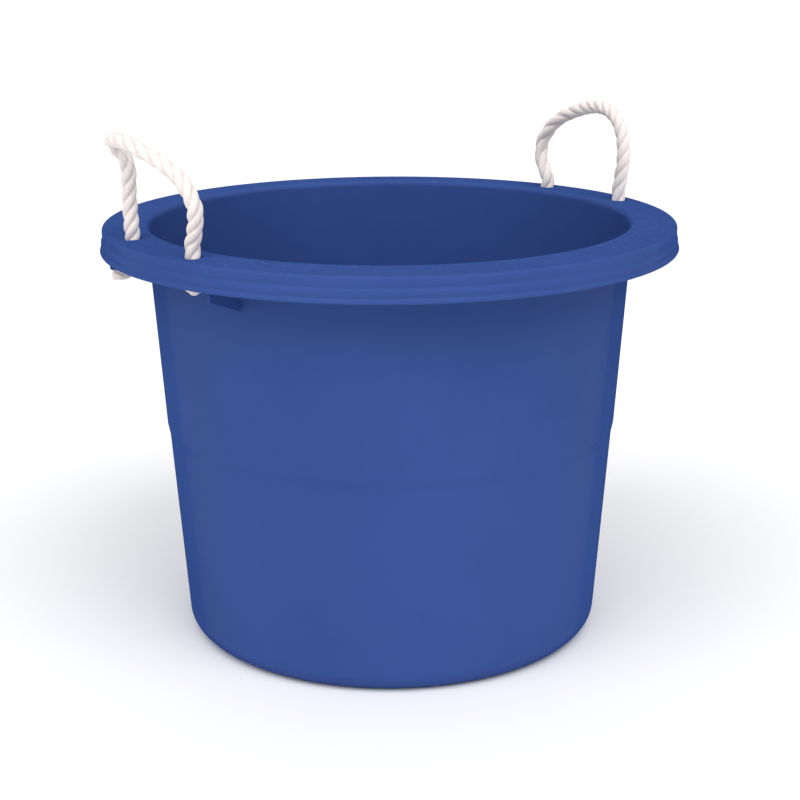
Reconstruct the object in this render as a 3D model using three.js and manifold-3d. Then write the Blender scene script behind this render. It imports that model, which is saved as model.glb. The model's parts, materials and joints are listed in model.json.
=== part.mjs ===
// Round utility tub with two rope handles, in millimetres, +Z up.
// Origin: centre of the base, on the plane that the tub stands on. -Y is the front.
// The tub is one thin-walled moulding. Each handle is one rope that passes through two holes
// in the rim and is stopped by a knot below each hole. Each rope is split where it bends.
import * as THREE from 'three';
import { mergeVertices } from 'three/addons/utils/BufferGeometryUtils.js';
import Module from 'manifold-3d';

const wasm = await Module();
wasm.setup();

// ---- Driving dimensions ------------------------------------------------------------------

const RIM_PLANE = 428; // height of the rim's top at its outer corner
const WALL = 3.2; // thickness of the moulding
const TURNS = 72; // flat sides in one turn of the tub

const BASE_RADIUS = 215.6; // outer wall radius, carried down to the base plane
const LOWER_TAPER = 0.0732; // radius gained per millimetre of height, below the step
const UPPER_TAPER = 0.0683; // and above it
const STEP_HEIGHT = 218; // height of the moulded step round the wall
const STEP_DEPTH = 1.5;
const STEP_RISE = 11;
const BASE_FILLET = 21;
const FOOT_INNER = 176; // inner radius of the flat foot ring
const FOOT_RECESS = 4; // how far the bottom panel is raised inside the foot ring

const LIP_CREST = 250; // radius of the crest of the rounded inner lip
const LIP_HEIGHT = 2.4; // crest above the rim plane
const LIP_ROUND = 6;
const RIM_FALL = 0.036; // the rim's top falls this much per millimetre outwards
const CORNER_RADIUS = 291.1; // outer corner of the rim
const CORNER_ROUND = 5;
const SKIRT_BOTTOM = 23.7; // below the rim plane

const HANDLE_AZIMUTHS = { left: -144.1, right: 35.9 }; // degrees from +X
const HOLE_CIRCLE = 270; // radius of the circle that the rope holes lie on
const HOLE_HALF_ANGLE = 12.5; // degrees either side of the handle's middle
const HOLE_RADIUS = 8;
const RIB_HALF_ANGLE = 19.5; // degrees from the handle's middle to each rib below the rim
const RIB_THICKNESS = 3;

const ROPE_RADIUS = 7;
const ROPE_SIDES = 12;
const ARCH_STEPS = 26;
const BEND_CLEARANCE = 3.5; // between the rim and a rope that lies flat on it
const KNOT_RADIUS = 15;
const KNOT_HEIGHT = 30;
const KNOT_SLACK = 1.5; // between the rim's underside and the knot
const TAIL_RADIUS = 5.6; // sealed rope end that sticks out of the knot
const GAP = 0.3; // between pieces that touch
const LEG_GAP = 0.6; // between a leg and the arch that tilts over it

// Sealed end of each knot, as [lean, reach]: degrees outwards from straight down, and the
// distance from the knot's centre to the end of the tail.
const KNOT_TAILS = {
  left: [
    [50, 22],
    [0, 19],
  ],
  right: [
    [0, 19],
    [0, 19],
  ],
};

// Middle line of each handle's rope above the rim, as [along, out, up]: along the line from
// one hole to the other, outwards from the tub, and up from the rim plane. It starts and ends
// over the holes, at the height where the rope bends.
const ARCH_ROUTES = {
  left: [
    [-60, 0, 26],
    [-58.5, 1, 48],
    [-53, 3.5, 67],
    [-50, 8, 81],
    [-53, 15, 91],
    [-49, 21, 98],
    [-30, 24, 100.5],
    [-5, 24.5, 99],
    [20, 23, 94],
    [43, 19.5, 87],
    [60, 14, 77],
    [70, 9, 64],
    [73.5, 5, 49],
    [68, 2, 33],
  ],
  right: [
    [-60.5, 1, 27],
    [-61.5, 3, 48],
    [-57, 5, 69],
    [-50, 6, 82],
    [-37.5, 7, 92.5],
    [-21, 7, 97.5],
    [0, 7, 95.5],
    [23, 6, 88.5],
    [43, 5, 80],
    [59, 4, 68],
    [70, 3, 54],
    [72.5, 2, 39],
    [67, 0.5, 25],
  ],
};

// ---- Derived dimensions ------------------------------------------------------------------

const radians = THREE.MathUtils.degToRad;
const halfChord = HOLE_CIRCLE * Math.sin(radians(HOLE_HALF_ANGLE));
const chordRadius = HOLE_CIRCLE * Math.cos(radians(HOLE_HALF_ANGLE));

/** Height of the rim's top surface above the rim plane, at a radius outside the lip. */
const rimTop = (radius) => LIP_HEIGHT - RIM_FALL * (radius - LIP_CREST);

const bendHeight = RIM_PLANE + rimTop(HOLE_CIRCLE) + ROPE_RADIUS + BEND_CLEARANCE;
const knotTop = RIM_PLANE + rimTop(HOLE_CIRCLE) - WALL - KNOT_SLACK;

/** Outer radius of the wall at a height, for the lower or the upper taper. */
const lowerWall = (height) => BASE_RADIUS + LOWER_TAPER * height;
const upperWall = (height) => lowerWall(STEP_HEIGHT) + STEP_DEPTH + UPPER_TAPER * (height - STEP_HEIGHT);

// ---- Shared helpers ----------------------------------------------------------------------

/** Points [radius, height] of an arc about a centre, from one angle to another in degrees. */
function arc(centreRadius, centreHeight, radius, from, to, steps) {
  const points = [];
  for (let i = 0; i <= steps; i++) {
    const angle = radians(from + ((to - from) * i) / steps);
    points.push([centreRadius + radius * Math.cos(angle), centreHeight + radius * Math.sin(angle)]);
  }
  return points;
}

/** Solid turned about the Z axis from an outline of [radius, height] points. */
function turned(outline, sides) {
  const points = outline.map(([radius, height]) => new THREE.Vector2(radius, height));
  return new THREE.LatheGeometry(points, sides).rotateX(Math.PI / 2);
}

/** Manifold solid from a closed three.js geometry. */
function solid(geometry) {
  const bare = geometry.clone();
  bare.deleteAttribute('normal');
  bare.deleteAttribute('uv');
  const merged = mergeVertices(bare, 1e-4);
  const index = merged.index.array;
  const triVerts = [];
  for (let i = 0; i < index.length; i += 3) {
    const [a, b, c] = [index[i], index[i + 1], index[i + 2]];
    if (a !== b && b !== c && c !== a) triVerts.push(a, b, c);
  }
  const mesh = new wasm.Mesh({
    numProp: 3,
    vertProperties: new Float32Array(merged.attributes.position.array),
    triVerts: new Uint32Array(triVerts),
  });
  return new wasm.Manifold(mesh);
}

/** three.js geometry from a manifold solid. */
function geometryOf(manifold) {
  const mesh = manifold.getMesh();
  const geometry = new THREE.BufferGeometry();
  geometry.setAttribute('position', new THREE.BufferAttribute(mesh.vertProperties, 3));
  geometry.setIndex(new THREE.BufferAttribute(mesh.triVerts, 1));
  geometry.computeVertexNormals();
  return geometry;
}

/** The two hole angles of a handle, in radians from +X. */
const holeAngles = (azimuth) => [-1, 1].map((side) => radians(azimuth + side * HOLE_HALF_ANGLE));

/** Point over or under a rope hole. */
const atHole = (angle, height) =>
  new THREE.Vector3(HOLE_CIRCLE * Math.cos(angle), HOLE_CIRCLE * Math.sin(angle), height);

// ---- Tub moulding ------------------------------------------------------------------------

/** Outline of the tub's section, up the outside, over the rim and down the inside. */
function shellOutline() {
  const tilt = Math.atan(LOWER_TAPER);
  const tiltDegrees = THREE.MathUtils.radToDeg(tilt);
  const filletRadius = lowerWall(BASE_FILLET * (1 - Math.sin(tilt))) - BASE_FILLET * Math.cos(tilt);
  const innerRound = BASE_FILLET - WALL;
  const floor = FOOT_RECESS + WALL;
  const innerFillet =
    lowerWall(floor + innerRound * (1 - Math.sin(tilt))) - WALL - innerRound * Math.cos(tilt);
  const underRound = 5;
  const underCentre = upperWall(RIM_PLANE - 8) + underRound;
  const underside = (radius) => RIM_PLANE + rimTop(radius) - WALL;
  const skirtInner = CORNER_RADIUS - WALL;
  const cornerCentre = CORNER_RADIUS - CORNER_ROUND;
  const rimZ = (below) => RIM_PLANE - below;
  const stepLow = STEP_HEIGHT - STEP_RISE / 2;
  const stepHigh = STEP_HEIGHT + STEP_RISE / 2;

  return [
    // bottom panel, foot ring and the rounded edge of the base
    [0, FOOT_RECESS],
    [FOOT_INNER - FOOT_RECESS, FOOT_RECESS],
    [FOOT_INNER, 0],
    ...arc(filletRadius, BASE_FILLET, BASE_FILLET, -90, -tiltDegrees, 5),
    // wall with its step
    [lowerWall(stepLow), stepLow],
    [upperWall(stepHigh), stepHigh],
    // underside of the rim and the inner face of its skirt
    ...arc(underCentre, underside(underCentre) - underRound, underRound, 180, 90, 3),
    [skirtInner - 3, underside(skirtInner - 3)],
    [skirtInner, underside(skirtInner) - 3],
    [skirtInner + 2.3, rimZ(SKIRT_BOTTOM - 0.6)],
    // lower edge of the skirt, then its three outward steps from the bottom up
    [skirtInner + 3.6, rimZ(SKIRT_BOTTOM)],
    [CORNER_RADIUS + 1.9, rimZ(SKIRT_BOTTOM)],
    [CORNER_RADIUS + 2.6, rimZ(22.3)],
    [CORNER_RADIUS + 2.2, rimZ(20.8)],
    [CORNER_RADIUS + 0.9, rimZ(18.5)],
    [CORNER_RADIUS + 1.3, rimZ(15)],
    [CORNER_RADIUS + 1.0, rimZ(12.5)],
    [CORNER_RADIUS - 0.4, rimZ(9)],
    [CORNER_RADIUS, rimZ(5.5)],
    // rounded outer corner, gently falling top and rounded inner lip
    ...arc(cornerCentre, rimZ(CORNER_ROUND) + rimTop(cornerCentre), CORNER_ROUND, 0, 90, 4),
    ...arc(LIP_CREST, rimZ(LIP_ROUND) + LIP_HEIGHT, LIP_ROUND, 90, 180, 5),
    // inside of the wall and the floor
    [upperWall(stepHigh) - WALL, stepHigh],
    [lowerWall(stepLow) - WALL, stepLow],
    ...arc(innerFillet, floor + innerRound, innerRound, -tiltDegrees, -90, 4),
    [0, floor],
  ];
}

/** Upright web below the rim that ties the wall to the skirt, beside a rope hole. */
function rib(angle) {
  const wallAtFoot = upperWall(RIM_PLANE - 50.5) - 1;
  const web = new THREE.Shape([
    new THREE.Vector2(upperWall(RIM_PLANE) - 1.5, -1.8),
    new THREE.Vector2(wallAtFoot, -50.5),
    new THREE.Vector2(286.5, -34),
    new THREE.Vector2(287.2, -24),
    new THREE.Vector2(289.3, -20),
    new THREE.Vector2(289, -3.6),
  ]);
  return new THREE.ExtrudeGeometry(web, { depth: RIB_THICKNESS, bevelEnabled: false })
    .translate(0, 0, -RIB_THICKNESS / 2)
    .rotateX(Math.PI / 2)
    .rotateZ(angle)
    .translate(0, 0, RIM_PLANE);
}

/** The whole moulding: shell, ribs and rope holes. */
function tubShell() {
  let body = solid(turned(shellOutline(), TURNS));
  for (const azimuth of Object.values(HANDLE_AZIMUTHS)) {
    for (const side of [-1, 1]) {
      body = body.add(solid(rib(radians(azimuth + side * RIB_HALF_ANGLE))));
    }
    for (const angle of holeAngles(azimuth)) {
      const centre = atHole(angle, RIM_PLANE);
      const drill = new THREE.CylinderGeometry(HOLE_RADIUS, HOLE_RADIUS, 20, 24)
        .rotateX(Math.PI / 2)
        .translate(centre.x, centre.y, centre.z);
      body = body.subtract(solid(drill));
    }
  }
  return geometryOf(body);
}

// ---- Rope handles ------------------------------------------------------------------------

/** Rope section, a flat-sided circle. */
function ropeSection() {
  const corners = [];
  for (let i = 0; i < ROPE_SIDES; i++) {
    const angle = (i * 2 * Math.PI) / ROPE_SIDES;
    corners.push(new THREE.Vector2(ROPE_RADIUS * Math.cos(angle), ROPE_RADIUS * Math.sin(angle)));
  }
  return new THREE.Shape(corners);
}

/** The part of a handle's rope that stands above the rim, from bend to bend. */
function ropeArch(azimuth, route) {
  const angle = radians(azimuth);
  const out = new THREE.Vector3(Math.cos(angle), Math.sin(angle), 0);
  const along = new THREE.Vector3(-Math.sin(angle), Math.cos(angle), 0);
  const place = ([s, w, h]) =>
    new THREE.Vector3(0, 0, h)
      .addScaledVector(along, s)
      .addScaledVector(out, chordRadius + w);
  const bend = bendHeight - RIM_PLANE;
  const stations = [[-halfChord, 0, bend], ...route, [halfChord, 0, bend]];
  const curve = new THREE.CatmullRomCurve3(stations.map(place), false, 'centripetal');
  const geometry = new THREE.ExtrudeGeometry(ropeSection(), { steps: ARCH_STEPS, extrudePath: curve });
  return geometry.translate(0, 0, RIM_PLANE);
}

/** The part of a handle's rope that passes through a hole in the rim. */
function ropeLeg(angle) {
  const top = bendHeight - ROPE_RADIUS - LEG_GAP;
  const bottom = knotTop + GAP;
  const middle = atHole(angle, (top + bottom) / 2);
  return new THREE.CylinderGeometry(ROPE_RADIUS, ROPE_RADIUS, top - bottom, ROPE_SIDES)
    .rotateX(Math.PI / 2)
    .translate(middle.x, middle.y, middle.z);
}

/** Overhand knot below the rim with its sealed rope end, as a plain rounded solid. */
function ropeKnot(angle, [lean, reach]) {
  const half = KNOT_HEIGHT / 2;
  const shoulder = KNOT_RADIUS / 2;
  const round = KNOT_RADIUS - shoulder;
  const side = arc(0, 0, 1, -90, 90, 8).map(([across, up]) => [shoulder + round * across, half * up]);
  const knot = turned([[0, -half], ...side, [0, half]], 20);
  const tail = new THREE.CylinderGeometry(TAIL_RADIUS, TAIL_RADIUS, reach, ROPE_SIDES)
    .translate(0, -reach / 2, 0)
    .rotateX(Math.PI / 2)
    .rotateY(-radians(lean))
    .rotateZ(angle);
  const centre = atHole(angle, knotTop - half);
  return geometryOf(solid(knot).add(solid(tail))).translate(centre.x, centre.y, centre.z);
}

// ---- Assembly ----------------------------------------------------------------------------

const group = new THREE.Group();

/** Adds one named mesh with its own material. */
function piece(name, geometry, colour, roughness) {
  const material = new THREE.MeshStandardMaterial({ color: colour, roughness, metalness: 0 });
  const mesh = new THREE.Mesh(geometry, material);
  mesh.name = name;
  group.add(mesh);
}

const BLUE = 0x3b5393;
const OFF_WHITE = 0xe9e3dd;

piece('tub_shell', tubShell(), BLUE, 0.42);
for (const [side, azimuth] of Object.entries(HANDLE_AZIMUTHS)) {
  piece(`${side}_rope_arch`, ropeArch(azimuth, ARCH_ROUTES[side]), OFF_WHITE, 0.85);
  const names = side === 'left' ? ['rear', 'front'] : ['front', 'rear'];
  holeAngles(azimuth).forEach((angle, i) => {
    piece(`${side}_rope_leg_${names[i]}`, ropeLeg(angle), OFF_WHITE, 0.85);
    piece(`${side}_rope_knot_${names[i]}`, ropeKnot(angle, KNOT_TAILS[side][i]), OFF_WHITE, 0.85);
  });
}

export default group;
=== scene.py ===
import json
import math

import bpy
import numpy as np
from mathutils import Matrix, Vector


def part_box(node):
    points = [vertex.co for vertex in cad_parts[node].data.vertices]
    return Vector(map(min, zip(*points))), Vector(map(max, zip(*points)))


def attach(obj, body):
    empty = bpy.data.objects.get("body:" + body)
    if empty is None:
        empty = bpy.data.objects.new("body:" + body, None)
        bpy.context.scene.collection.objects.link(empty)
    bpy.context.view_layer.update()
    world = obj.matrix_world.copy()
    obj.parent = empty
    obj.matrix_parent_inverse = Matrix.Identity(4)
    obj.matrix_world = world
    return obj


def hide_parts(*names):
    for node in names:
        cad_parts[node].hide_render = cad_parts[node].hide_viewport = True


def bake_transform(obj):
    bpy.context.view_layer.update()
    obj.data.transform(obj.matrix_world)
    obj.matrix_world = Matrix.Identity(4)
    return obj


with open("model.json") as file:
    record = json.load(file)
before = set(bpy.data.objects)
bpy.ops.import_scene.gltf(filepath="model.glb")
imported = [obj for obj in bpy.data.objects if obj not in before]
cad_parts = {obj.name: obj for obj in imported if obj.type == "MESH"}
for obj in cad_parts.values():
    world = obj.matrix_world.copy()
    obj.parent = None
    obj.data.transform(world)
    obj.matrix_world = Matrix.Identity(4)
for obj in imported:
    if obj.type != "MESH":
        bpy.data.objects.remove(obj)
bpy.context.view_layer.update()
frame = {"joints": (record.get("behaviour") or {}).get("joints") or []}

MM = 0.001

# ---- Measures taken from the frame -------------------------------------------------------------

LIP_HEIGHT = 2.4 * MM  # crest of the inner lip above the rim plane
RIM_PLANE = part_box("tub_shell")[1].z - LIP_HEIGHT
JOINTS = {joint["name"]: joint for joint in frame["joints"]}

WALL = 3.2 * MM
BASE_RADIUS = 215.6 * MM  # outer wall radius, carried down to the base plane
LOWER_TAPER = 0.0732  # radius gained per height, below the step in the wall
UPPER_TAPER = 0.0683  # and above it
STEP_HEIGHT = 218 * MM
STEP_DEPTH = 1.5 * MM
STEP_RISE = 11 * MM
LIP_CREST = 250 * MM
RIM_FALL = 0.036  # the rim's top falls this much per distance outwards
CORNER_RADIUS = 291.1 * MM
HOLE_RADIUS = 8 * MM
HOLE_CIRCLE = 270 * MM
RIB_HALF_ANGLE = math.radians(19.5)  # from a handle's middle to each of its ribs
RIB_THICKNESS = 3 * MM

ROPE_RADIUS = 7 * MM
LAY = 48 * MM  # length of one full turn of the rope's strands
KNOT_PINCH = 0.8  # where a knot is pulled tight, the rope is this share of its full thickness
PINCH_FADE = 8 * MM  # height over which it gets its full thickness back
RING_SPACING = 1.1 * MM  # along the rope's mesh


def rim_top(radius):
    """Height of the rim's top surface."""
    return RIM_PLANE + LIP_HEIGHT - RIM_FALL * (radius - LIP_CREST)


def lower_wall(height):
    return BASE_RADIUS + LOWER_TAPER * height


def upper_wall(height):
    return lower_wall(STEP_HEIGHT) + STEP_DEPTH + UPPER_TAPER * (height - STEP_HEIGHT)


def box_centre(node):
    low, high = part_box(node)
    return (low + high) / 2


# ---- Camera ------------------------------------------------------------------------------------

CAMERA_DISTANCE = 1.7486
CAMERA_ABOVE_RIM = 0.3057
CAMERA_PITCH = 0.2774  # radians below the horizon
CAMERA_YAW = 0.0056
CAMERA_ROLL = -0.0042
CAMERA_LENS = 77.63  # millimetres, on a 36 mm sensor


def make_camera():
    forward = Vector((
        math.sin(CAMERA_YAW) * math.cos(CAMERA_PITCH),
        math.cos(CAMERA_YAW) * math.cos(CAMERA_PITCH),
        -math.sin(CAMERA_PITCH),
    ))
    side = forward.cross(Vector((0, 0, 1))).normalized()
    up = side.cross(forward)
    right = side * math.cos(CAMERA_ROLL) + up * math.sin(CAMERA_ROLL)
    upright = up * math.cos(CAMERA_ROLL) - side * math.sin(CAMERA_ROLL)
    turn = Matrix((right, upright, -forward)).transposed().to_4x4()
    place = Matrix.Translation((0, -CAMERA_DISTANCE, RIM_PLANE + CAMERA_ABOVE_RIM))
    camera = bpy.data.objects.new("camera", bpy.data.cameras.new("camera"))
    camera.data.sensor_width = 36
    camera.data.lens = CAMERA_LENS
    camera.matrix_world = place @ turn
    bpy.context.scene.collection.objects.link(camera)
    bpy.context.scene.camera = camera


make_camera()

# ---- Rope: centre lines ------------------------------------------------------------------------

# Middle line of each handle's arch, as [along, out, up] in millimetres: along the line from one
# hole to the other, outwards from the tub, and up from the rim plane.
ARCH_ROUTES = {
    "left": [
        [-60, 0, 26], [-58.5, 1, 48], [-53, 3.5, 67], [-50, 8, 81], [-53, 15, 91],
        [-49, 21, 98], [-30, 24, 100.5], [-5, 24.5, 99], [20, 23, 94], [43, 19.5, 87],
        [60, 14, 77], [70, 9, 64], [73.5, 5, 49], [68, 2, 33],
    ],
    "right": [
        [-60.5, 1, 27], [-61.5, 3, 48], [-57, 5, 69], [-50, 6, 82], [-37.5, 7, 92.5],
        [-21, 7, 97.5], [0, 7, 95.5], [23, 6, 88.5], [43, 5, 80], [59, 4, 68],
        [70, 3, 54], [72.5, 2, 39], [67, 0.5, 25],
    ],
}
HANDLE_ENDS = {"left": ("rear", "front"), "right": ("front", "rear")}  # in the order of the route
KNOT_SPINS = {"left_rear": 0, "left_front": 0, "right_front": 75, "right_rear": 310}  # degrees
KNOT_HALF_HEIGHT = 16 * MM
TAIL_JOINS = -7 * MM  # heights about the knot's middle, where its own tail and lead are cut off
LEAD_JOINS = 12 * MM
STRAIGHT_TAIL = [[0, -10], [0, -12.8]]  # below the knot's middle, as [outwards, up] in millimetres
BENT_TAIL = [[2.5, -9.5], [7, -12.3], [12, -13.2], [19.5, -13.8]]


def line_length(line):
    return np.linalg.norm(np.diff(line, axis=0), axis=1).sum()


def evenly(line, step):
    """The line again, with points one step apart."""
    along = np.concatenate([[0], np.cumsum(np.linalg.norm(np.diff(line, axis=0), axis=1))])
    at = np.linspace(0, along[-1], int(along[-1] / step) + 1)
    return np.stack([np.interp(at, along, line[:, k]) for k in range(3)], axis=1)


def softened(line, passes):
    """The line with its small kinks smoothed out and its ends kept."""
    line = line.copy()
    for _ in range(passes):
        line[1:-1] = (line[:-2] + 2 * line[1:-1] + line[2:]) / 4
    return line


def tighten_knot():
    """Centre line of a tight overhand knot about its middle, with its tail down and its lead up.

    A loose overhand knot is held at both ends while its rope shortens. The rope keeps its length
    between neighbouring points, stays a contact distance away from itself, and resists bending.
    """
    contact = 10.5 * MM * KNOT_PINCH
    half_span = 55 * MM * KNOT_PINCH
    count = 71
    bending = 0.02
    firmness = 0.25
    shortening = 0.9985
    tight_strain = 1.03
    momentum = 0.97
    longest_step = 0.14 * contact
    neighbourhood = 1.7 * contact
    steps, passes = 900, 6

    t = np.linspace(-2.1, 2.1, 20 * count)
    loose = np.stack([t**3 - 3 * t, t**4 - 4 * t**2, t**5 / 5 - 2 * t], axis=1)
    rope = evenly(loose, line_length(loose) / (count - 0.5))
    rope -= (rope[0] + rope[-1]) / 2
    rope *= 2 * half_span / abs(rope[0, 2] - rope[-1, 2])
    if rope[0, 2] > rope[-1, 2]:
        rope = rope[::-1].copy()
    rope[:, 0] -= np.interp(rope[:, 2], rope[[0, -1], 2], rope[[0, -1], 0])
    ends = np.array([[0, 0, -half_span], [0, 0, half_span]])
    spacing = line_length(rope) / (count - 1)

    index = np.arange(count)
    before = rope.copy()
    for _ in range(steps):
        apart = np.abs(index[:, None] - index[None]) * spacing > neighbourhood
        first, second = np.nonzero(np.triu(apart, 1))
        drift = np.clip((rope - before) * momentum, -longest_step, longest_step)
        before = rope.copy()
        rope = rope + drift
        for _ in range(passes):
            rope[1:-1] += bending * ((rope[:-2] + rope[2:]) / 2 - rope[1:-1])
            gap = rope[second] - rope[first]
            size = np.linalg.norm(gap, axis=1)
            near = size < contact
            push = gap[near] * ((contact - size[near]) * firmness / size[near])[:, None]
            np.add.at(rope, first[near], -push)
            np.add.at(rope, second[near], push)
            for parity in (0, 1):
                a = np.arange(parity, count - 1, 2)
                link = rope[a + 1] - rope[a]
                stretch = np.linalg.norm(link, axis=1)
                pull = link * ((stretch - spacing) / stretch / 2)[:, None]
                rope[a] += pull
                rope[a + 1] -= pull
            rope[[0, -1]] = ends
        strain = line_length(rope) / (count - 1) / spacing
        spacing *= shortening if strain < tight_strain else 1 / shortening
    return softened(rope, 3)


def placed_knot(spin, tail, outwards):
    """The knot with its lead on the Z axis and its middle at the origin, turned to point outwards.

    The tail is a few points below the knot, as [outwards, up] in millimetres.
    """
    turned = KNOT @ np.array(Matrix.Rotation(math.radians(spin), 3, "Z")).T
    tail_start = np.argmax(turned[:, 2] > TAIL_JOINS)
    lead_end = len(turned) - np.argmax(turned[::-1, 2] < LEAD_JOINS)
    below = [[out * MM, 0, up * MM] for out, up in tail]
    kept = np.array([*below[::-1], *turned[tail_start:lead_end]])
    return kept @ np.array(Matrix.Rotation(outwards, 3, "Z")).T


def through(points, samples=12):
    """Centripetal Catmull-Rom curve through the points."""
    points = np.asarray(points, float)
    first = 2 * points[0] - points[1]
    last = 2 * points[-1] - points[-2]
    p = np.vstack([first, points, last])
    knots = np.concatenate([[0], np.cumsum(np.linalg.norm(np.diff(p, axis=0), axis=1) ** 0.5)])
    curve = []
    for i in range(1, len(p) - 2):
        t = np.linspace(knots[i], knots[i + 1], samples, endpoint=False)[:, None]
        k0, k1, k2, k3 = knots[i - 1:i + 3]
        a1 = (k1 - t) / (k1 - k0) * p[i - 1] + (t - k0) / (k1 - k0) * p[i]
        a2 = (k2 - t) / (k2 - k1) * p[i] + (t - k1) / (k2 - k1) * p[i + 1]
        a3 = (k3 - t) / (k3 - k2) * p[i + 1] + (t - k2) / (k3 - k2) * p[i + 2]
        b1 = (k2 - t) / (k2 - k0) * a1 + (t - k0) / (k2 - k0) * a2
        b2 = (k3 - t) / (k3 - k1) * a2 + (t - k1) / (k3 - k1) * a3
        curve.append((k2 - t) / (k2 - k1) * b1 + (t - k1) / (k2 - k1) * b2)
    return np.vstack(curve + [points[-1:]])


KNOT = tighten_knot()


def rope_line(side):
    """Centre line of one handle's rope, from one tail to the other, and how pinched it is."""
    pivot = Vector(JOINTS[f"{side}_handle_tilt"]["pos_m"])
    first, second = (box_centre(f"{side}_rope_leg_{end}") for end in HANDLE_ENDS[side])
    along = (second - first).normalized()
    out = Vector((pivot.x, pivot.y, 0)).normalized()
    knots = []
    for end, hole in zip(HANDLE_ENDS[side], (first, second)):
        tail = BENT_TAIL if f"{side}_{end}" == "left_rear" else STRAIGHT_TAIL
        knot = placed_knot(KNOT_SPINS[f"{side}_{end}"], tail, math.atan2(hole.y, hole.x))
        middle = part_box(f"{side}_rope_knot_{end}")[1].z - KNOT_HALF_HEIGHT
        knots.append(knot + np.array([hole.x, hole.y, middle]))
    foot = Vector((pivot.x, pivot.y, RIM_PLANE))
    arch = [foot + (along * s + out * w + Vector((0, 0, h))) * MM for s, w, h in ARCH_ROUTES[side]]
    in_hole = [[hole.x, hole.y, rim_top(HOLE_CIRCLE) - WALL / 2] for hole in (first, second)]
    bends = [[hole.x, hole.y, pivot.z] for hole in (first, second)]
    points = [*knots[0], in_hole[0], bends[0], *arch, bends[1], in_hole[1], *knots[1][::-1]]
    line = softened(evenly(through(points), RING_SPACING), 4)
    pinch_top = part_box(f"{side}_rope_knot_{HANDLE_ENDS[side][0]}")[1].z
    pinched = np.clip((pinch_top + PINCH_FADE / 2 - line[:, 2]) / PINCH_FADE, 0, 1)
    return line, pinched


# ---- Rope: three twisted strands ---------------------------------------------------------------

STRANDS = 3
STRAND_OFFSET = 3.45 * MM  # from the rope's centre to a strand's
STRAND_HALF_DEPTH = 4.05 * MM
STRAND_HALF_WIDTH = 4.75 * MM  # strands are pressed against each other, so they are oval
STRAND_SIDES = 20
YARNS = 7  # yarns round each strand
YARN_RELIEF = 0.13 * MM
YARN_TURN = 2.06  # yarns turn back this much faster than the strands turn
RIPPLE_TURNS = 0.05  # small unevenness of the lay
RIPPLE_LENGTH = 19 * MM  # along the rope, for each radian of that ripple
SWELL = 0.012  # each wave along a strand makes it thicker and thinner by this share
SWELL_LENGTHS = (0.031, 0.047, 0.083, 0.133)  # lengths of those waves
STRAND_SHIFT = 0.31  # between the strands' places in the texture, so that they differ
GROOVE_RADIUS = 5.3 * MM  # where two strands meet; the painted shade is full inside this radius and fades out over GROOVE_DEPTH
GROOVE_DEPTH = 1.7 * MM
MELTED_LENGTH = 5 * MM  # how far the sealing of an end reaches
MELTED_RADIUS = 0.9 * ROPE_RADIUS
MELTED_SHRINK = 0.14  # share of its size that a sealed end loses
MELTED_ROUNDING = 0.85  # how nearly round it is, from 0 to 1
TIP_RISE = 2.2 * MM  # height of the rounded tip beyond the last ring
TIP_SHADE = 0.2


def strand_section():
    """Angle round the strand, and the place in the rope's section, for one strand's outside."""
    fine = np.linspace(0, math.pi, 2000)
    x = STRAND_OFFSET + STRAND_HALF_DEPTH * np.cos(fine)
    y = STRAND_HALF_WIDTH * np.sin(fine)
    edge = fine[np.argmax(np.arctan2(y, x) > math.pi / STRANDS)]
    turn = np.linspace(-edge, edge, STRAND_SIDES + 1)[:-1]
    x = STRAND_OFFSET + STRAND_HALF_DEPTH * np.cos(turn)
    y = STRAND_HALF_WIDTH * np.sin(turn)
    return turn, x, y, edge


def frames_along(line):
    """Directions across the line that don't twist about it."""
    tangent = np.gradient(line, axis=0)
    tangent /= np.linalg.norm(tangent, axis=1)[:, None]
    across = np.cross(tangent[0], [0.3, 0.5, 0.8])
    across /= np.linalg.norm(across)
    normals = [across]
    for t in tangent[1:]:
        across = across - t * (across @ t)
        across /= np.linalg.norm(across)
        normals.append(across)
    normals = np.array(normals)
    return tangent, normals, np.cross(tangent, normals)


def uneven_lay(distance, length, tight_at, turns):
    """Turns by which the twist runs ahead: it is tightest at one share of the rope's length."""
    ripple = RIPPLE_TURNS * np.sin(distance / RIPPLE_LENGTH)
    return turns * np.sin(4 * math.pi * (distance / length - tight_at)) + ripple


def rounded_end(centre, ring, outwards):
    """Shrinking rings that close an end of the rope, as a list of rings and the tip."""
    rings = []
    for share in (0.35, 0.6, 0.8, 0.93):
        rings.append(centre + (ring - centre) * math.sqrt(1 - share**2) + outwards * TIP_RISE * share)
    return rings, centre + outwards * TIP_RISE


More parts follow.
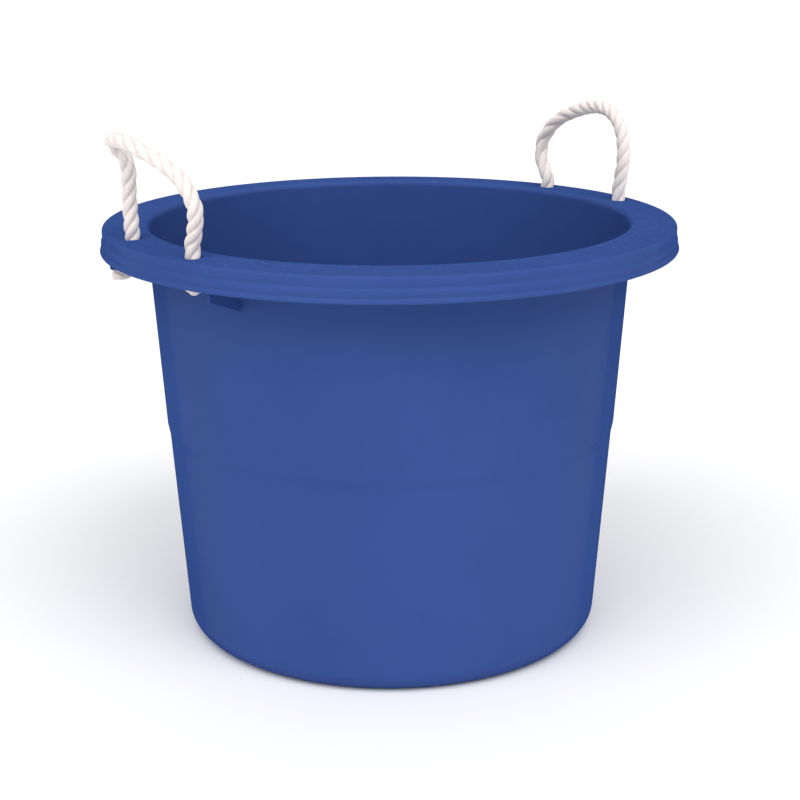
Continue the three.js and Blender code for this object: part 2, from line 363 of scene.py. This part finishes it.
def rope_mesh(name, line, pinched, phase, tight_at, turns, seed):
    """One closed tube whose section is three strands that twist along the line."""
    random = np.random.default_rng(seed)
    turn, x, y, edge = strand_section()
    tangent, normal, binormal = frames_along(line)
    distance = np.concatenate([[0], np.cumsum(np.linalg.norm(np.diff(line, axis=0), axis=1))])
    length = distance[-1]
    twist = 2 * math.pi * (distance / LAY + uneven_lay(distance, length, tight_at, turns)) + phase

    # the sealed ends are melted smaller and lose their strands
    from_end = np.minimum(distance, length - distance)
    melted = np.clip(1 - from_end / MELTED_LENGTH, 0, 1) ** 1.5
    size = (1 + (KNOT_PINCH - 1) * pinched) * (1 - MELTED_SHRINK * melted)
    wave = [random.uniform(0, 2 * math.pi, 4) for _ in range(STRANDS)]

    rings, groove_shade = [], []
    for strand in range(STRANDS):
        uneven = sum(
            np.sin(2 * math.pi * distance / wavelength + w)
            for wavelength, w in zip(SWELL_LENGTHS, wave[strand])
        )
        swell = 1 + SWELL * uneven
        yarn = YARNS / 2 * (turn[None] + YARN_TURN * (twist - phase)[:, None]) + wave[strand][0]
        relief = YARN_RELIEF * (np.abs(np.cos(yarn)) ** 0.8 - 0.6) * (1 - melted)[:, None]
        radius = np.hypot(x, y)[None] * swell[:, None] + relief
        radius = radius + (MELTED_RADIUS - radius) * melted[:, None] * MELTED_ROUNDING
        radius = radius * size[:, None]
        angle = np.arctan2(y, x)[None] + twist[:, None] + 2 * math.pi * strand / STRANDS
        ring = line[:, None] + (radius * np.cos(angle))[..., None] * normal[:, None]
        ring = ring + (radius * np.sin(angle))[..., None] * binormal[:, None]
        rings.append(ring)
        # amount of painted shade in the grooves between the strands, full where they meet
        depth = 1 - np.clip((np.hypot(x, y) - GROOVE_RADIUS) / GROOVE_DEPTH, 0, 1)
        groove_shade.append(np.broadcast_to(depth, ring.shape[:2]))
    rings = np.concatenate(rings, axis=1)
    groove_shade = np.concatenate(groove_shade, axis=1)
    count, sides = rings.shape[:2]

    # each end closes in a few shrinking rings and a centre point
    vertices = list(rings.reshape(-1, 3))
    shade = list(groove_shade.reshape(-1))
    faces, caps = [], []
    for i in range(count - 1):
        for j in range(sides):
            k = (j + 1) % sides
            faces.append((i * sides + j, i * sides + k, (i + 1) * sides + k, (i + 1) * sides + j))
    for end, way in ((0, -1), (count - 1, 1)):
        previous = [end * sides + j for j in range(sides)]
        closing, tip_place = rounded_end(line[end], rings[end], way * tangent[end])
        for ring in closing:
            start = len(vertices)
            vertices.extend(ring)
            shade.extend([TIP_SHADE] * sides)
            new = [start + j for j in range(sides)]
            for j in range(sides):
                k = (j + 1) % sides
                quad = (previous[j], previous[k], new[k], new[j])
                caps.append(quad if way > 0 else quad[::-1])
            previous = new
        vertices.append(tip_place)
        shade.append(TIP_SHADE)
        tip = len(vertices) - 1
        for j in range(sides):
            k = (j + 1) % sides
            caps.append((previous[j], previous[k], tip) if way > 0 else (previous[k], previous[j], tip))

    mesh = bpy.data.meshes.new(name)
    mesh.from_pydata([tuple(v) for v in vertices], [], faces + caps)
    depths = mesh.attributes.new("groove_shade", "FLOAT", "POINT")
    depths.data.foreach_set("value", np.array(shade, np.float32))

    # texture place in metres: along the rope, and round each strand in the direction of its yarns
    uv = mesh.uv_layers.new(name="yarn_map")
    steps = np.append(turn, edge)
    coords = []
    for i in range(count - 1):
        for j in range(sides):
            strand, local = divmod(j, STRAND_SIDES)
            corners = ((i, local), (i, local + 1), (i + 1, local + 1), (i + 1, local))
            for ring, place in corners:
                swirl = steps[place] + YARN_TURN * (twist[ring] - phase)
                coords += [distance[ring], STRAND_HALF_WIDTH * swirl + strand * STRAND_SHIFT]
    # the corners of the end caps only need some place of their own
    coords += [0.02 * (n % 7) for n in range(2 * (len(mesh.loops) - len(coords) // 2))]
    uv.data.foreach_set("uv", np.array(coords, np.float32))
    mesh.shade_smooth()
    rope = bpy.data.objects.new(name, mesh)
    bpy.context.scene.collection.objects.link(rope)
    return rope, length


# ---- Material helpers --------------------------------------------------------------------------


class Nodes:
    """Short ways to add and join shader nodes in one material."""

    def __init__(self, name):
        self.material = bpy.data.materials.new(name)
        self.material.use_nodes = True
        self.tree = self.material.node_tree
        self.shader = self.tree.nodes["Principled BSDF"]

    def add(self, kind, inputs=None, **settings):
        node = self.tree.nodes.new(kind)
        for key, value in settings.items():
            setattr(node, key, value)
        for key, value in (inputs or {}).items():
            self.put(node.inputs[key], value)
        return node

    def put(self, socket, value):
        if isinstance(value, bpy.types.NodeSocket):
            self.tree.links.new(value, socket)
        else:
            socket.default_value = value

    def math(self, operation, a, b=0.0, clamp=False):
        node = self.add("ShaderNodeMath", operation=operation, use_clamp=clamp)
        self.put(node.inputs[0], a)
        self.put(node.inputs[1], b)
        return node.outputs[0]

    def noise(self, vector, scale, detail=2.0, roughness=0.5):
        inputs = {"Vector": vector, "Scale": scale, "Detail": detail, "Roughness": roughness}
        return self.add("ShaderNodeTexNoise", inputs).outputs["Fac"]

    def stretch(self, vector, scale, offset=(0, 0, 0)):
        inputs = {"Vector": vector, "Scale": scale, "Location": offset}
        return self.add("ShaderNodeMapping", inputs).outputs[0]

    def range(self, value, low, high, to_low=0.0, to_high=1.0):
        inputs = {"Value": value, "From Min": low, "From Max": high, "To Min": to_low, "To Max": to_high}
        return self.add("ShaderNodeMapRange", inputs).outputs[0]

    def mix(self, factor, a, b):
        node = self.add("ShaderNodeMix", data_type="RGBA")
        self.put(node.inputs[0], factor)
        self.put(node.inputs[6], a)
        self.put(node.inputs[7], b)
        return node.outputs[2]

    def bump(self, height, distance, strength=1.0, normal=None):
        node = self.add("ShaderNodeBump", {"Height": height, "Distance": distance, "Strength": strength})
        if normal is not None:
            self.put(node.inputs["Normal"], normal)
        return node.outputs[0]


def linear(red, green, blue):
    """Linear colour with alpha, from 8-bit display values."""
    def one(value):
        value /= 255
        return value / 12.92 if value <= 0.04045 else ((value + 0.055) / 1.055) ** 2.4
    return (one(red), one(green), one(blue), 1.0)


def rope_material():
    """Off-white spun rope: fine fibres along the yarns, painted shade in the grooves, and a soft sheen."""
    n = Nodes("rope")
    place = n.add("ShaderNodeUVMap", uv_map="yarn_map").outputs[0]
    solid = n.add("ShaderNodeTexCoord").outputs["Object"]
    groove_shade = n.add("ShaderNodeAttribute", attribute_name="groove_shade").outputs["Fac"]
    fibres = n.noise(n.stretch(place, (260, 2600, 1)), 1.0, 3.0, 0.6)
    threads = n.noise(n.stretch(place, (60, 900, 1)), 1.0, 2.0, 0.5)
    patches = n.noise(solid, 45.0, 3.0, 0.55)
    light, dark = linear(240, 233, 229), linear(223, 213, 208)
    tone = n.mix(n.range(threads, 0.32, 0.68), dark, light)
    tone = n.mix(n.range(patches, 0.45, 0.75, 0.0, 0.35), tone, linear(236, 226, 219))
    # painted shade: darker, warmer colour mixed into the grooves between the strands
    tone = n.mix(n.math("MULTIPLY", groove_shade, 0.3), tone, linear(201, 184, 178))
    n.put(n.shader.inputs["Base Color"], tone)
    n.put(n.shader.inputs["Roughness"], n.range(fibres, 0.3, 0.7, 0.74, 0.92))
    n.shader.inputs["Sheen Weight"].default_value = 0.25
    n.shader.inputs["Sheen Roughness"].default_value = 0.5
    n.shader.inputs["Specular IOR Level"].default_value = 0.25
    height = n.math("ADD", n.math("MULTIPLY", threads, 0.7), n.math("MULTIPLY", fibres, 0.3))
    n.put(n.shader.inputs["Normal"], n.bump(height, 0.35 * MM, 0.9))
    return n.material


def make_rope(side, phase, tight_at, turns, seed, material):
    """One handle: a single rope with a knot at each end, bending where it leaves the rim."""
    line, pinched = rope_line(side)
    rope, length = rope_mesh(f"{side}_rope_handle", line, pinched, phase, tight_at, turns, seed)
    rope.data.materials.append(material)
    ends = [f"{side}_rope_{part}_{end}" for part in ("leg", "knot") for end in HANDLE_ENDS[side]]
    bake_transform(rope)
    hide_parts(f"{side}_rope_arch", *ends)


rope_look = rope_material()
make_rope("left", phase=0.4, tight_at=0.25, turns=0.15, seed=3, material=rope_look)
make_rope("right", phase=1.9, tight_at=0.42, turns=0.29, seed=8, material=rope_look)

# ---- Tub moulding ------------------------------------------------------------------------------

TURNS = 288  # faces round the tub
HOLE_TURNS = 48  # and round a rope hole
SHARP_DEGREES = 32
FOOT_INNER = 176 * MM
FOOT_RECESS = 4 * MM
GATE_RADIUS = 4 * MM  # mark of the moulding's gate, in the middle of the underside


def tub_corners():
    """Corners of the tub's section as (radius, height, rounding), up the outside and down the inside."""
    floor = FOOT_RECESS + WALL
    low, high = STEP_HEIGHT - STEP_RISE / 2, STEP_HEIGHT + STEP_RISE / 2
    skirt_inner = CORNER_RADIUS - WALL
    under = rim_top(upper_wall(RIM_PLANE)) - WALL
    inner_lip = LIP_CREST - 5.8 * MM
    ridge = [  # outwards from the corner radius, below the rim plane, rounding, in millimetres
        (-1.0, 23.1, 0.5), (0.4, 23.7, 0.5), (1.9, 23.7, 0.7), (2.65, 22.3, 0.9), (2.2, 20.6, 1.6),
        (0.8, 18.6, 1.6), (1.3, 14.8, 3.0), (1.05, 12.4, 1.6), (-0.5, 9.4, 1.6), (0.0, 5.5, 3.0),
    ]
    return [
        (0, FOOT_RECESS - 0.8 * MM, 0),
        (GATE_RADIUS, FOOT_RECESS - 0.8 * MM, 0.3 * MM),
        (GATE_RADIUS + 0.6 * MM, FOOT_RECESS, 0.3 * MM),
        (FOOT_INNER - FOOT_RECESS, FOOT_RECESS, 3 * MM),
        (FOOT_INNER, 0, 1.5 * MM),
        (BASE_RADIUS, 0, 21 * MM),
        (lower_wall(low), low, 14 * MM),
        (upper_wall(high), high, 14 * MM),
        (upper_wall(under), under, 5 * MM),
        (skirt_inner, rim_top(skirt_inner) - WALL, 3 * MM),
        *[(CORNER_RADIUS + out * MM, RIM_PLANE - down * MM, bend * MM) for out, down, bend in ridge],
        (CORNER_RADIUS, rim_top(CORNER_RADIUS), 5 * MM),
        (inner_lip, rim_top(inner_lip), 6 * MM),
        (upper_wall(high) - WALL, high, 14 * MM),
        (lower_wall(low) - WALL, low, 14 * MM),
        (lower_wall(floor) - WALL, floor, 17.8 * MM),
        (0, floor, 0),
    ]


def rounded(corners, degrees_per_step=9):
    """Outline through the corners, with each corner replaced by an arc of its rounding."""
    points = []
    for i, (radius, height, bend) in enumerate(corners):
        here = Vector((radius, height))
        if bend == 0:
            points.append(here)
            continue
        before = Vector(corners[i - 1][:2]) - here
        after = Vector(corners[i + 1][:2]) - here
        turn = math.pi - before.angle(after)
        cut = min(bend * math.tan(turn / 2), 0.48 * before.length, 0.48 * after.length)
        start = here + before.normalized() * cut
        end = here + after.normalized() * cut
        steps = max(3, math.ceil(math.degrees(turn) / degrees_per_step))
        arc_radius = cut / math.tan(turn / 2)
        inwards = (before.normalized() + after.normalized()).normalized()
        centre = here + inwards * math.hypot(cut, arc_radius)
        a, b = start - centre, end - centre
        for k in range(steps + 1):
            swing = turn * (k / steps)
            point = (a * math.sin(turn - swing) + b * math.sin(swing)) / math.sin(turn)
            points.append(centre + point)
    return points


def lathe(name, outline, turns):
    """Closed mesh turned about Z from an outline that starts and ends on the axis."""
    inner = outline[1:-1]
    vertices = [(0, 0, outline[0].y), (0, 0, outline[-1].y)]
    for k in range(turns):
        c, s = math.cos(2 * math.pi * k / turns), math.sin(2 * math.pi * k / turns)
        vertices += [(p.x * c, p.x * s, p.y) for p in inner]
    faces = []
    for k in range(turns):
        here = 2 + k * len(inner)
        there = 2 + (k + 1) % turns * len(inner)
        faces.append((0, there, here))
        faces.append((1, here + len(inner) - 1, there + len(inner) - 1))
        for i in range(len(inner) - 1):
            faces.append((here + i, there + i, there + i + 1, here + i + 1))
    mesh = bpy.data.meshes.new(name)
    mesh.from_pydata(vertices, [], faces)
    item = bpy.data.objects.new(name, mesh)
    bpy.context.scene.collection.objects.link(item)
    return item


def hole_cutter(angle):
    """Cutter for a rope hole whose upper and lower edges are rounded."""
    edge = 2.2 * MM
    low_edge = 0.7 * MM
    above = 6 * MM
    below = -9 * MM
    outline = [Vector((0, above)), Vector((HOLE_RADIUS + edge * 1.02, above))]
    for k in range(9):
        a = math.radians(82 + 98 * k / 8)
        outline.append(Vector((HOLE_RADIUS + edge + edge * math.cos(a), -edge + edge * math.sin(a))))
    for k in range(5):
        a = math.radians(180 + 82 * k / 4)
        x = HOLE_RADIUS + low_edge + low_edge * math.cos(a)
        outline.append(Vector((x, -WALL + low_edge + low_edge * math.sin(a))))
    outline += [Vector((HOLE_RADIUS + low_edge, below)), Vector((0, below))]
    cutter = lathe("hole_cutter", outline[::-1], HOLE_TURNS)
    tilt = Matrix.Rotation(math.atan(RIM_FALL), 4, "Y")
    place = Matrix.Translation((HOLE_CIRCLE, 0, rim_top(HOLE_CIRCLE)))
    cutter.data.transform(Matrix.Rotation(angle, 4, "Z") @ place @ tilt)
    return cutter


def rib_solid(angle):
    """Upright web under the rim, between the wall and the skirt, with rounded free edges."""
    foot = RIM_PLANE - 50.5 * MM
    # the edge by the wall is sunk into it, and the top and the outer edge into the rim and skirt
    wall_edge = [(upper_wall(RIM_PLANE) - 1.5 * MM, RIM_PLANE - 1.8 * MM), (upper_wall(foot) - 1 * MM, foot)]
    outer_edge = [(286.5, 34), (287.2, 24), (289.3, 20), (289, 3.6)]  # radius and depth, in millimetres
    outline = wall_edge + [(radius * MM, RIM_PLANE - depth * MM) for radius, depth in outer_edge]
    half = RIB_THICKNESS / 2
    vertices = [(r, side * half, z) for side in (-1, 1) for r, z in outline]
    count = len(outline)
    faces = [tuple(range(count)), tuple(range(2 * count - 1, count - 1, -1))]
    faces += [(i, count + i, count + (i + 1) % count, (i + 1) % count) for i in range(count)]
    mesh = bpy.data.meshes.new("rib")
    mesh.from_pydata(vertices, [], faces)
    rib = bpy.data.objects.new("rib", mesh)
    bpy.context.scene.collection.objects.link(rib)
    bevel = rib.modifiers.new("round", "BEVEL")
    bevel.width, bevel.segments = 0.9 * MM, 3
    rib.data.transform(Matrix.Rotation(angle, 4, "Z"))
    return rib


def baked(item):
    """The object with its modifiers made real."""
    evaluated = item.evaluated_get(bpy.context.evaluated_depsgraph_get())
    mesh = bpy.data.meshes.new_from_object(evaluated)
    old = item.data
    item.modifiers.clear()
    item.data = mesh
    bpy.data.meshes.remove(old)
    return item


def combine(item, others, operation):
    """Joins the other solids to the item, or cuts them out of it."""
    for other in others:
        step = item.modifiers.new("combine", "BOOLEAN")
        step.operation, step.object, step.solver = operation, other, "EXACT"
    baked(item)
    for other in others:
        bpy.data.objects.remove(other)


def make_tub():
    tub = lathe("tub", rounded(tub_corners()), TURNS)
    ribs, cutters = [], []
    for side in HANDLE_ENDS:
        pivot = JOINTS[f"{side}_handle_tilt"]["pos_m"]
        middle = math.atan2(pivot[1], pivot[0])
        ribs += [baked(rib_solid(middle + way * RIB_HALF_ANGLE)) for way in (-1, 1)]
        for end in HANDLE_ENDS[side]:
            hole = box_centre(f"{side}_rope_leg_{end}")
            cutters.append(hole_cutter(math.atan2(hole.y, hole.x)))
    combine(tub, ribs, "UNION")
    combine(tub, cutters, "DIFFERENCE")
    tub.data.shade_smooth()
    tub.data.set_sharp_from_angle(angle=math.radians(SHARP_DEGREES))
    weighted = tub.modifiers.new("even_shading", "WEIGHTED_NORMAL")
    weighted.keep_sharp = True
    weighted.weight = 80
    baked(tub)
    return tub


def tub_material():
    """Blue moulded polyethylene: satin gloss, faint waviness, fine grain, scuffs round the foot, and lighter
    patches on the rim's top that are partly scuffs and partly a painted highlight.
    """
    n = Nodes("tub_plastic")
    place = n.add("ShaderNodeTexCoord").outputs["Object"]
    split = n.add("ShaderNodeSeparateXYZ", {"Vector": place})
    height = split.outputs[2]
    cloud = n.noise(place, 5.0, 3.0, 0.5)
    grain = n.noise(place, 2400.0, 2.0, 0.6)
    mottle = n.noise(place, 60.0, 4.0, 0.6)
    flow = n.noise(n.stretch(place, (26, 26, 2.2)), 1.0, 3.0, 0.5)
    deep, fresh = linear(48, 72, 131), linear(53, 77, 138)
    tone = n.mix(n.range(cloud, 0.3, 0.7), deep, fresh)
    tone = n.mix(n.range(mottle, 0.4, 0.75, 0.0, 0.12), tone, linear(60, 86, 148))
    # lighter patches: real scuffs round the foot, and on the rim's top partly scuffs, partly a painted
    # highlight where the top faces the light
    scuff_and_highlight_patches = n.noise(n.stretch(place, (140, 140, 420)), 1.0, 5.0, 0.7)
    near_floor = n.range(height, 0.0, 0.012, 1.0, 0.0)
    near_rim = n.range(height, RIM_PLANE - 0.001, RIM_PLANE + LIP_HEIGHT, 0.0, 0.5)
    wear_and_rim_highlight = n.math("MULTIPLY", n.math("ADD", near_floor, near_rim), n.range(scuff_and_highlight_patches, 0.52, 0.72))
    # mixes in the lighter blue of the foot's scuffs and of the rim top's scuffs and painted highlight
    tone = n.mix(n.math("MULTIPLY", wear_and_rim_highlight, 0.55, clamp=True), tone, linear(90, 118, 178))
    n.put(n.shader.inputs["Base Color"], tone)
    facing = n.add("ShaderNodeLayerWeight").outputs["Facing"]
    n.put(n.shader.inputs["Specular IOR Level"], n.range(facing, 0.3, 0.7, 0.04, 0.0))
    rough = n.range(mottle, 0.3, 0.7, 0.36, 0.44)
    rough = n.math("ADD", rough, n.math("MULTIPLY", wear_and_rim_highlight, 0.2), clamp=True)
    n.put(n.shader.inputs["Roughness"], rough)
    waves = n.bump(n.math("ADD", cloud, n.math("MULTIPLY", flow, 0.15)), 0.5 * MM, 0.6)
    n.put(n.shader.inputs["Normal"], n.bump(grain, 0.02 * MM, 0.5, waves))
    return n.material


tub = make_tub()
tub.data.materials.clear()
tub.data.materials.append(tub_material())
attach(tub, "tub")
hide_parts("tub_shell")

# ---- Floor, surroundings and light -------------------------------------------------------------


def floor_material():
    """Plain near-white studio floor."""
    n = Nodes("studio_floor")
    place = n.add("ShaderNodeTexCoord").outputs["Object"]
    tone = n.mix(n.noise(place, 3.0), linear(248, 248, 249), linear(251, 251, 251))
    n.put(n.shader.inputs["Base Color"], tone)
    n.shader.inputs["Roughness"].default_value = 0.8
    return n.material


def make_floor():
    half_size = 80
    height = -0.3 * MM
    mesh = bpy.data.meshes.new("floor")
    signs = ((-1, -1), (1, -1), (1, 1), (-1, 1))
    corners = [(x * half_size, y * half_size, height) for x, y in signs]
    mesh.from_pydata(corners, [], [(0, 1, 2, 3)])
    mesh.materials.append(floor_material())
    floor = bpy.data.objects.new("floor", mesh)
    bpy.context.scene.collection.objects.link(floor)


def soft_sun(name, toward, power, spread):
    """Even light from a direction, with soft shadows."""
    lamp = bpy.data.lights.new(name, "SUN")
    lamp.angle = math.radians(spread)
    lamp.energy = power
    light = bpy.data.objects.new(name, lamp)
    light.rotation_mode = "QUATERNION"
    light.rotation_quaternion = Vector(toward).to_track_quat("Z", "Y")
    bpy.context.scene.collection.objects.link(light)


WORLD_AT_HORIZON = 1.0  # a white backdrop, which ends a little above the horizon
WORLD_ABOVE_BACKDROP = 0.34
WORLD_OVERHEAD = 0.72
BACKDROP_TOP = 0.14  # these three are sines of the angle above the horizon
DIM_FROM = 0.24
OVERHEAD_FROM = 0.85


def studio_world():
    """White surroundings: a backdrop at the horizon, dim above it, and bright overhead."""
    world = bpy.data.worlds.new("studio")
    world.use_nodes = True
    tree = world.node_tree
    direction = tree.nodes.new("ShaderNodeTexCoord").outputs["Generated"]
    split = tree.nodes.new("ShaderNodeSeparateXYZ")
    tree.links.new(direction, split.inputs[0])

    def fade(low, high, at_low, at_high):
        node = tree.nodes.new("ShaderNodeMapRange")
        node.interpolation_type = "SMOOTHSTEP"
        tree.links.new(split.outputs["Z"], node.inputs["Value"])
        node.inputs["From Min"].default_value = low
        node.inputs["From Max"].default_value = high
        node.inputs["To Min"].default_value = at_low
        node.inputs["To Max"].default_value = at_high
        return node.outputs[0]

    strength = tree.nodes.new("ShaderNodeMath")
    backdrop = fade(BACKDROP_TOP, DIM_FROM, WORLD_AT_HORIZON, WORLD_ABOVE_BACKDROP)
    overhead = fade(DIM_FROM, OVERHEAD_FROM, 0, WORLD_OVERHEAD - WORLD_ABOVE_BACKDROP)
    tree.links.new(backdrop, strength.inputs[0])
    tree.links.new(overhead, strength.inputs[1])
    background = tree.nodes["Background"]
    background.inputs["Color"].default_value = (1, 1, 1, 1)
    tree.links.new(strength.outputs[0], background.inputs["Strength"])
    bpy.context.scene.world = world


def make_light():
    studio_world()
    soft_sun("key", (0.6, -0.9, 1.2), 1.35, 45)
    soft_sun("fill", (-0.7, -0.85, 1.1), 1.2, 50)
    bpy.context.scene.view_settings.view_transform = "Standard"


make_floor()
make_light()
